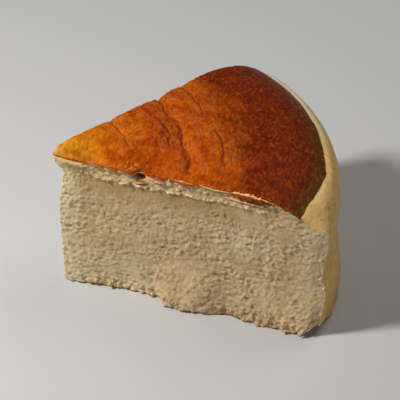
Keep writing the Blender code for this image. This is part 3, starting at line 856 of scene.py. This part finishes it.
def build_bits(settings):
    """Clinging crumbs: lumpy balls from rings of points, each with its own swellings and turn."""
    rho, side, height, size = bit_places(settings.bit_count)
    draw = np.random.default_rng(BIT_SHAPE_SEED)
    count = len(rho)
    lift = (np.arange(1, BIT_ROWS) / BIT_ROWS * math.pi)[:, None] * np.ones((1, BIT_COLUMNS))
    turn = np.ones((BIT_ROWS - 1, 1)) * (np.arange(BIT_COLUMNS) / BIT_COLUMNS * 2.0 * math.pi)[None, :]
    ball = np.stack([np.sin(lift) * np.cos(turn), np.sin(lift) * np.sin(turn), np.cos(lift)], axis=-1)
    ball = np.concatenate([ball.reshape(-1, 3), [[0.0, 0.0, 1.0], [0.0, 0.0, -1.0]]])
    shape = np.ones((count, len(ball)))
    for _ in range(5):
        pull = draw.normal(size=(count, 3))
        pull /= np.linalg.norm(pull, axis=1, keepdims=True)
        shape += draw.uniform(-0.50, 0.55, (count, 1)) * np.exp(3.0 * (pull @ ball.T - 1.0))
    shape += draw.uniform(-0.10, 0.10, shape.shape)
    local = ball[None] * shape[..., None] * draw.uniform(0.5, 1.5, (count, 1, 3))
    spin, _ = np.linalg.qr(draw.normal(size=(count, 3, 3)))
    spin *= np.sign(np.linalg.det(spin))[:, None, None]
    local = np.einsum("nij,nkj->nki", spin, local) * size[:, None, None]

    below = top_height(rho, side) - height
    front = cut_texture(rho, height, below, FRONT_TEAR_SEED, settings.pore_depth)[0]
    back = cut_texture(rho, height, below, BACK_TEAR_SEED, settings.pore_depth)[0]
    out = -0.3 * size
    centre = slice_points(rho, side, height, np.where(side > 0.0, 0.0, front + out),
                          np.where(side > 0.0, back + out, 0.0))
    points = centre[:, None, :] + local
    points[..., 2] = np.maximum(points[..., 2], 0.0)

    number = np.arange((BIT_ROWS - 1) * BIT_COLUMNS).reshape(BIT_ROWS - 1, BIT_COLUMNS)
    caps = np.concatenate([fan_faces(number[0], len(ball) - 2), fan_faces(number[-1, ::-1], len(ball) - 1)])
    shift = (np.arange(count) * len(ball))[:, None, None]
    faces = [((group + shift).reshape(-1, group.shape[1]), 0) for group in (tube_faces(number), caps)]
    spread = np.ones((count, len(ball)))
    notes = {
        "below_top": (below + 3.0 * MM)[:, None] * spread,
        "from_tip": rho[:, None] * spread,
        "pore_shade": 0.0 * spread,
        "lip_and_light": 0.25 * spread,
    # Painted light on every clinging crumb, against the shade on its underside
    }
    return points.reshape(-1, 3), faces, notes


# Materials

CRUMB = "Open crumb, cut"
SKIN = "Browned skin, baked"

# What the light does inside baked batter, which lets a little of it through
BATTER = {
    "IOR": 1.40, "Subsurface Weight": 0.2,
    "Subsurface Radius": (1.0, 0.62, 0.32), "Subsurface Scale": 1.2 * MM,
}


def linear(code):
    """A colour's linear values from its sRGB hex code."""
    parts = [int(code[place:place + 2], 16) / 255.0 for place in (1, 3, 5)]
    return tuple(part / 12.92 if part <= 0.04045 else ((part + 0.055) / 1.055) ** 2.4 for part in parts)


def add(tree, kind, links=(), **settings):
    """Add one node, set its own properties, and fill its sockets with values or other sockets."""
    node = tree.nodes.new(kind)
    for name, value in settings.items():
        setattr(node, name, value)
    for socket, source in dict(links).items():
        if isinstance(source, bpy.types.NodeSocket):
            tree.links.new(source, node.inputs[socket])
        else:
            node.inputs[socket].default_value = source
    return node


def new_material(name, colour, notes, patterns, stretch=None):
    """A material with its coordinates, the piece's notes that it reads, and its patterns of
    noise: the size in mm, the detail, and a 1 where it is stretched."""
    material = bpy.data.materials.new(name)
    material.use_nodes = True
    material.diffuse_color = (*colour, 1.0)
    tree = material.node_tree
    tree.nodes.clear()
    place = add(tree, "ShaderNodeTexCoord").outputs["Object"]
    way = stretch and add(tree, "ShaderNodeMapping", {"Vector": place, "Scale": stretch}).outputs["Vector"]
    read = [add(tree, "ShaderNodeAttribute", attribute_name=note).outputs["Fac"] for note in notes]
    noise = [add(tree, "ShaderNodeTexNoise", {"Vector": way if stretched else place,
                                              "Scale": 1.0 / (size * MM), "Detail": detail}).outputs["Fac"]
             for size, detail, *stretched in patterns]
    return material, place, read, noise


def coats(material, base, *rows):
    """Lay coats over a colour, one row each: a hex code or a socket, the value that drives it,
    where it starts and where it is whole, then how much it covers and how it is blended."""
    tree = material.node_tree
    for colour, value, start, end, cover, *blend in rows:
        if isinstance(colour, str):
            colour = (*linear(colour), 1.0)
        share = add(tree, "ShaderNodeMapRange", {"Value": value, "From Min": start, "From Max": end,
                                                 "To Max": cover}, interpolation_type="SMOOTHSTEP")
        base = add(tree, "ShaderNodeMix", {0: share.outputs["Result"], 6: base, 7: colour}, data_type="RGBA",
                   blend_type=blend[0] if blend else "MIX").outputs[2]
    return base


def close(material, base, height, strength, depth, values):
    """Finish a material: a bump as deep as given in mm, the shader with its values, the output."""
    tree = material.node_tree
    bump = add(tree, "ShaderNodeBump", {"Strength": strength, "Distance": depth * MM, "Height": height})
    values = {"Base Color": base, "Normal": bump.outputs["Normal"], **values}
    shader = add(tree, "ShaderNodeBsdfPrincipled", values)
    add(tree, "ShaderNodeOutputMaterial", {"Surface": shader.outputs[0]})
    return material


def crumb_material(settings):
    """Open crumb: baked cream cheese batter, torn by a knife. It looks matt, moist and a little
    see-through, with soft shadows, painted shade in its gaps, pores and hole, painted light on
    its tip, ledge and lumps, and a greyer band under the skin."""
    # Faint patches of 6 mm, where the batter set more or less firmly, grains of 0.9 mm, as the
    # real ones are finer and wouldn't show, and a roughness of 0.6 mm
    material, _, (below, along, pore_shade, lip_and_light), (patch, grain, rough) = new_material(
        CRUMB, settings.crumb_colour, ("below_top", "from_tip", "pore_shade", "lip_and_light"),
        ((6.0, 3.0), (0.9, 2.0), (0.6, 2.0)))
    base = coats(material, (*settings.crumb_colour, 1.0),
                 ("#C9AC80", patch, 0.35, 0.65, 1.0),
                 ("#EBD5A8", grain, 0.50, 0.68, 0.45),
                 ("#A98C60", grain, 0.48, 0.30, 0.45))

    # Darker and yellower between 14 mm and 5 mm under the top; lighter in the torn band over that, its paler
    # beige with painted light against the shade under the skin; neither past the tear, by the rind
    upper = coats(material, base,
                  ("#B09050", below, 14.0 * MM, 5.0 * MM, 0.62),
                  ("#D8BC8E", below, 5.2 * MM, 3.6 * MM, 0.60))
    tree = material.node_tree
    past_tear = add(tree, "ShaderNodeMapRange", {"Value": along, "From Min": TEAR_TO - 3.5 * TEAR_FADE,
                                                 "From Max": TEAR_TO - TEAR_FADE})
    base = add(tree, "ShaderNodeMix", {0: past_tear.outputs["Result"], 6: upper, 7: base},
               data_type="RGBA").outputs[2]

    # Cream by the rind; painted light at the tip's edge and under its beak, and on the ledge's edge, the
    # tops of torn chunks, the foot by the tip and the smeared patch; painted shade, greyish brown in the
    # gaps, pores and caves and brown in the deepest pores and the hole
    base = coats(material, base,
                 ("#EEDAB0", along, 62.0 * MM, 73.0 * MM, 0.20),
                 ("#EFDCB0", along, 7.0 * MM, 0.0, 0.8),
                 ("#F5E3B8", lip_and_light, 0.20, 0.80, 0.85),
                 ("#8A7049", pore_shade, 0.05, 0.90, 0.50),
                 ("#8C5222", pore_shade, 0.60, 1.40, 0.90))
    return close(material, base, rough, 0.6, 0.2,
                 {"Roughness": 0.82, "Specular IOR Level": 0.25, **BATTER})


def rind_material(settings):
    """Pale rind: the same batter, set against the tin's side away from the heat. It looks
    closed, matt and pale yellow, with a fine grain and few brown specks."""
    # Yellow patches of 7 mm, a grain of 0.9 mm, brown specks of 1.2 mm, painted shade in the pits
    # and a roughness of 0.6 mm, and painted light that makes all of it paler towards the back of the
    # slice, where the rind faces away from the key light
    material, place, (pit,), (patch, grain, speck, fine) = new_material(
        "Pale rind, baked in the tin", settings.rind_colour, ("pore_shade",),
        ((7.0, 3.0), (0.9, 2.0), (1.2, 1.0), (0.6, 2.0)))
    side = add(material.node_tree, "ShaderNodeSeparateXYZ", {"Vector": place}).outputs["Y"]
    base = coats(material, (*settings.rind_colour, 1.0),
                 ("#E6BE72", patch, 0.35, 0.65, 1.0),
                 ("#B9924E", grain, 0.50, 0.30, 0.40),
                 ("#BE9350", speck, 0.60, 0.72, 0.35),
                 ("#B08C55", pit, 0.2, 0.9, 0.35),
                 ("#F3DFBA", side, -6.0 * MM, 32.0 * MM, 0.75))
    return close(material, base, fine, 0.5, 0.18, {"Roughness": 0.66, "Specular IOR Level": 0.3, **BATTER})


def base_material(settings):
    """Baked base: batter dried on the tin's bottom. It looks flat, matt and a little browner
    than the rind, with pale marks where it let go."""
    # Patches of 5 mm, marks of 2.5 mm and a roughness of 0.9 mm
    material, _, _, (patch, mark, fine) = new_material(
        "Baked base", settings.base_colour, (), ((5.0, 3.0), (2.5, 2.0), (0.9, 2.0)))
    base = coats(material, (*settings.base_colour, 1.0),
                 ("#C79A5B", patch, 0.35, 0.65, 1.0),
                 ("#E6CC95", mark, 0.45, 0.6, 0.4))
    return close(material, base, fine, 0.4, 0.2, {"Roughness": 0.75, "IOR": 1.40, "Specular IOR Level": 0.3})


def skin_material(settings):
    """Browned skin: egg-rich batter, browned by the oven's top heat. It goes from honey at the
    tip to deep brown at the rim, mottled, satin with a slight oily shine, and its torn edge
    is pale where the crumb shows. Painted shade darkens its creases and the slope into the deep
    fold, and painted highlights light the crease edges and the grain."""
    # Patches of 9 mm, mottling of 3 mm, and two patterns that run towards the rim: a grain of
    # 0.7 mm, coarser than the real one so that it shows, and streaks of 1.1 mm
    material, _, (browned, to_rind, down, crease, worn), (patch, mottle, grain, streak) = new_material(
        SKIN, settings.skin_middle_colour, ("browned", "to_rind", "down", "crease", "worn"),
        ((9.0, 3.0), (3.0, 3.0), (0.7, 1.0, 1), (1.1, 1.0, 1)), (1.0, 0.5, 0.7))
    tree = material.node_tree

    # Browning by distance from the tip, shifted up to 5% by the patches
    shift = add(tree, "ShaderNodeMapRange", {"Value": patch, "From Min": 0.3, "From Max": 0.7,
                                             "To Min": -0.05, "To Max": 0.05})
    share = add(tree, "ShaderNodeMath", {0: browned, 1: 1.0 / CAKE_RADIUS, 2: shift.outputs["Result"]},
                operation="MULTIPLY_ADD")
    ramp = add(tree, "ShaderNodeValToRGB", {"Fac": share.outputs[0]})
    # The stop by the fold is browning with painted shade, darker where the top slopes down into the deep
    # fold
    stops = (
        (0.00, settings.skin_tip_colour),
        (0.20, settings.skin_honey_colour),
        (0.34, settings.skin_fold_colour_and_shade),
        (0.42, settings.skin_middle_colour),
        (0.54, settings.skin_middle_colour),
        (0.69, settings.skin_rim_colour),
    )
    for (position, colour), stop in zip(stops, [*ramp.color_ramp.elements, None, None, None, None]):
        stop = stop or ramp.color_ramp.elements.new(position)
        stop.position, stop.color = position, (*colour, 1.0)

    # Mottling, and grain with painted glints on its high points, cream at the very tip, painted shade
    # in the creases between painted highlights on their edges, an olive band with pale streaks inside
    # the rind, and the crumb's colour where the skin is worn through. Then the torn edge: brown,
    # orange, the colour of the crumb
    band = coats(material, (*settings.skin_edge_colour, 1.0), ("#A07A38", streak, 0.50, 0.68, 0.45))
    base = coats(material, ramp.outputs["Color"],
                 ("#B87050", mottle, 0.60, 0.34, 0.55, "MULTIPLY"),
                 ("#B87858", grain, 0.60, 0.30, 0.42, "MULTIPLY"),
                 ("#E88A38", grain, 0.50, 0.78, 0.18),
                 ("#EBC070", browned, 2.6 * MM, 0.2 * MM, 0.70),
                 ("#F0A058", crease, 0.05, 0.30, 0.10),
                 ("#9A4A28", crease, 0.15, 0.95, 0.62, "MULTIPLY"),
                 (band, to_rind, 4.4 * MM, 0.6 * MM, 0.80),
                 ("#E3A058", worn, 0.1, 0.9, 0.60),
                 ("#B9581C", down, 0.10, 0.45, 1.0),
                 ("#EFC88C", down, 0.60, 0.98, 1.0))

    relief = add(tree, "ShaderNodeMath", {0: grain, 1: mottle}, operation="ADD")
    oil = add(tree, "ShaderNodeMapRange", {"Value": mottle, "From Min": 0.3, "From Max": 0.7,
                                           "To Min": 0.32, "To Max": 0.5})
    return close(material, base, relief.outputs[0], 0.7, 0.2, {
        "Roughness": oil.outputs["Result"], "IOR": 1.44, "Specular IOR Level": 0.16,
        "Specular Tint": (1.0, 0.65, 0.32, 1.0),
        "Subsurface Weight": 0.08, "Subsurface Radius": (1.0, 0.35, 0.10), "Subsurface Scale": 0.8 * MM,
    })


def floor_material(settings):
    """Painted floor: matt emulsion. It looks plain and pale, with shade that barely varies."""
    material, _, _, (shade,) = new_material(
        "Pale painted floor", settings.floor_colour, (), ((400.0, 3.0),))
    tree = material.node_tree
    base = coats(material, (*settings.floor_colour, 1.0), ("#C9C7C3", shade, 0.3, 0.7, 0.15))
    shader = add(tree, "ShaderNodeBsdfPrincipled", {"Base Color": base, "Roughness": 0.9,
                                                    "Specular IOR Level": 0.1})
    add(tree, "ShaderNodeOutputMaterial", {"Surface": shader.outputs[0]})
    return material


def shared(name, maker, settings):
    """A material that several pieces use, made once."""
    return bpy.data.materials.get(name) or maker(settings)


# The add-on

def length(name, description, default):
    """A size in metres that a user may change."""
    return bpy.props.FloatProperty(name=name, description=description, default=default, min=0.0,
                                   unit="LENGTH", precision=5)


def colour(name, description, code):
    """A colour that a user may change."""
    return bpy.props.FloatVectorProperty(name=name, description=description, default=linear(code),
                                         subtype="COLOR", min=0.0, max=1.0)


def strength(name, description, default):
    """A light's strength that a user may change."""
    return bpy.props.FloatProperty(name=name, description=description, default=default, min=0.0)


class CheesecakeSettings(bpy.types.PropertyGroup):
    """Sizes and colours of the slice and its stage."""

    pore_depth: length("Pore depth", "How deep the torn pores of the cuts are", 0.26 * MM)
    skin_thickness: length("Skin thickness", "How thick the browned skin is", 0.6 * MM)
    skin_overhang: length("Skin overhang", "How far the torn skin stands over the cuts", 0.22 * MM)
    bit_count: bpy.props.IntProperty(name="Crumbs", description="How many crumbs cling to the cuts",
                                     default=240, min=1)
    crumb_colour: colour("Crumb", "Colour of the open crumb", "#D8BA8E")
    rind_colour: colour("Rind", "Colour of the pale rind", "#F3C67C")
    base_colour: colour("Base", "Colour of the baked base", "#D9B377")
    skin_tip_colour: colour("Skin at the tip", "Colour of the skin at the tip", "#EBA01E")
    skin_honey_colour: colour("Honey skin", "Colour of the skin a third of the way", "#D86E0A")
    # Browning with painted shade, where the top slopes down into the deep fold
    skin_fold_colour_and_shade: colour("Skin by the fold", "Colour of the skin before the deep fold", "#AC4303")
    skin_middle_colour: colour("Middle skin", "Colour of the skin half way", "#C65A08")
    skin_rim_colour: colour("Skin by the rim", "Colour of the skin near the rim", "#832C02")
    skin_edge_colour: colour("Skin's edge", "Colour of the band beside the pale rind", "#63400F")
    floor_colour: colour("Floor", "Colour of the floor", "#D6D5D3")
    key_strength: strength("Key light", "Power of the key light, in watts", 1.45)
    rim_strength: strength("Rim light", "Power of the light from behind, in watts", 0.30)
    fill_strength: strength("Fill light", "Strength of the light all round", 0.12)


class CHEESECAKE_OT_crumb(bpy.types.Operator):
    """Make the crumb with its cuts, pale rind and base"""

    bl_idname = "cheesecake.crumb"
    bl_label = "Make the Crumb"

    def execute(self, context):
        settings = context.scene.cheesecake_slice
        materials = [shared(CRUMB, crumb_material, settings), rind_material(settings),
                     base_material(settings)]
        piece = make_piece("crumb_body", materials, *build_crumb(settings))
        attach(piece, BODY)
        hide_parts(NODE)
        return {"FINISHED"}


class CHEESECAKE_OT_skin(bpy.types.Operator):
    """Make the browned skin over the top"""

    bl_idname = "cheesecake.skin"
    bl_label = "Make the Skin"

    def execute(self, context):
        settings = context.scene.cheesecake_slice
        piece = make_piece("browned_skin", [shared(SKIN, skin_material, settings)], *build_skin(settings))
        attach(piece, BODY)
        return {"FINISHED"}


class CHEESECAKE_OT_torn_skin(bpy.types.Operator):
    """Make the loose strips of skin along the front cut"""

    bl_idname = "cheesecake.torn_skin"
    bl_label = "Make the Torn Skin"

    def execute(self, context):
        settings = context.scene.cheesecake_slice
        piece = make_piece("torn_skin", [shared(SKIN, skin_material, settings)], *build_flaps())
        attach(piece, BODY)
        return {"FINISHED"}


class CHEESECAKE_OT_bits(bpy.types.Operator):
    """Make the crumbs that cling to the cuts"""

    bl_idname = "cheesecake.bits"
    bl_label = "Make the Clinging Crumbs"

    def execute(self, context):
        settings = context.scene.cheesecake_slice
        piece = make_piece("crumb_bits", [shared(CRUMB, crumb_material, settings)], *build_bits(settings))
        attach(piece, BODY)
        return {"FINISHED"}


class CHEESECAKE_OT_stage(bpy.types.Operator):
    """Make the floor, the lights and the camera"""

    bl_idname = "cheesecake.stage"
    bl_label = "Make the Stage"

    def execute(self, context):
        settings = context.scene.cheesecake_slice
        scene = context.scene

        mesh = bpy.data.meshes.new("floor")
        corners = [(x * FLOOR_HALF, y * FLOOR_HALF, FLOOR_LEVEL)
                   for x, y in ((-1, -1), (1, -1), (1, 1), (-1, 1))]
        mesh.from_pydata(corners, [], [(0, 1, 2, 3)])
        mesh.materials.append(floor_material(settings))
        floor = bpy.data.objects.new("floor", mesh)
        scene.collection.objects.link(floor)

        # Round soft lamps, near enough that the light falls off across the slice
        for name, power, direction, size in (
            ("key_light", settings.key_strength, KEY_DIRECTION, KEY_SIZE),
            ("rim_light", settings.rim_strength, RIM_DIRECTION, RIM_SIZE),
        ):
            lamp = bpy.data.objects.new(name, bpy.data.lights.new(name, "AREA"))
            lamp.data.energy = power
            lamp.data.shape, lamp.data.size = "DISK", size
            way = Vector(direction).normalized()
            lamp.location = Vector(PLACE) + Vector(CAMERA_AIM) + LAMP_DISTANCE * way
            lamp.rotation_mode = "QUATERNION"
            lamp.rotation_quaternion = way.to_track_quat("Z", "Y")
            scene.collection.objects.link(lamp)

        world = scene.world or bpy.data.worlds.new("studio")
        scene.world = world
        world.use_nodes = True
        world.node_tree.nodes.clear()
        around = add(world.node_tree, "ShaderNodeBackground",
                     {"Color": (*linear("#F4F6FA"), 1.0), "Strength": settings.fill_strength})
        add(world.node_tree, "ShaderNodeOutputWorld", {"Surface": around.outputs[0]})
        scene.view_settings.view_transform = "Standard"

        camera = bpy.data.objects.new("camera", bpy.data.cameras.new("camera"))
        camera.data.lens = CAMERA_LENS
        camera.data.clip_start, camera.data.clip_end = CAMERA_SEES
        camera.location = Vector(PLACE) + Vector(CAMERA_PLACE)
        camera.rotation_mode = "QUATERNION"
        aim = Vector(CAMERA_AIM) - Vector(CAMERA_PLACE)
        camera.rotation_quaternion = aim.to_track_quat("-Z", "Y")
        scene.collection.objects.link(camera)
        scene.camera = camera
        return {"FINISHED"}


class CHEESECAKE_PT_slice(bpy.types.Panel):
    """Settings and buttons of the slice"""

    bl_label = "Cheesecake Slice"
    bl_idname = "CHEESECAKE_PT_slice"
    bl_space_type = "VIEW_3D"
    bl_region_type = "UI"
    bl_category = "Cheesecake"

    def draw(self, context):
        layout = self.layout
        settings = context.scene.cheesecake_slice
        for name in CheesecakeSettings.__annotations__:
            layout.prop(settings, name)
        for operator in OPERATORS:
            layout.operator(operator.bl_idname)


OPERATORS = (
    CHEESECAKE_OT_crumb,
    CHEESECAKE_OT_skin,
    CHEESECAKE_OT_torn_skin,
    CHEESECAKE_OT_bits,
    CHEESECAKE_OT_stage,
)


def register():
    """Make the settings, the operators and the panel known to Blender."""
    for kind in (CheesecakeSettings, *OPERATORS, CHEESECAKE_PT_slice):
        bpy.utils.register_class(kind)
    bpy.types.Scene.cheesecake_slice = bpy.props.PointerProperty(type=CheesecakeSettings)


def unregister():
    """Take them away again."""
    del bpy.types.Scene.cheesecake_slice
    for kind in (CHEESECAKE_PT_slice, *reversed(OPERATORS), CheesecakeSettings):
        bpy.utils.unregister_class(kind)


def main():
    """Build everything in order."""
    register()
    bpy.ops.cheesecake.crumb()
    bpy.ops.cheesecake.skin()
    bpy.ops.cheesecake.torn_skin()
    bpy.ops.cheesecake.bits()
    bpy.ops.cheesecake.stage()


if __name__ == "__main__":
    main()
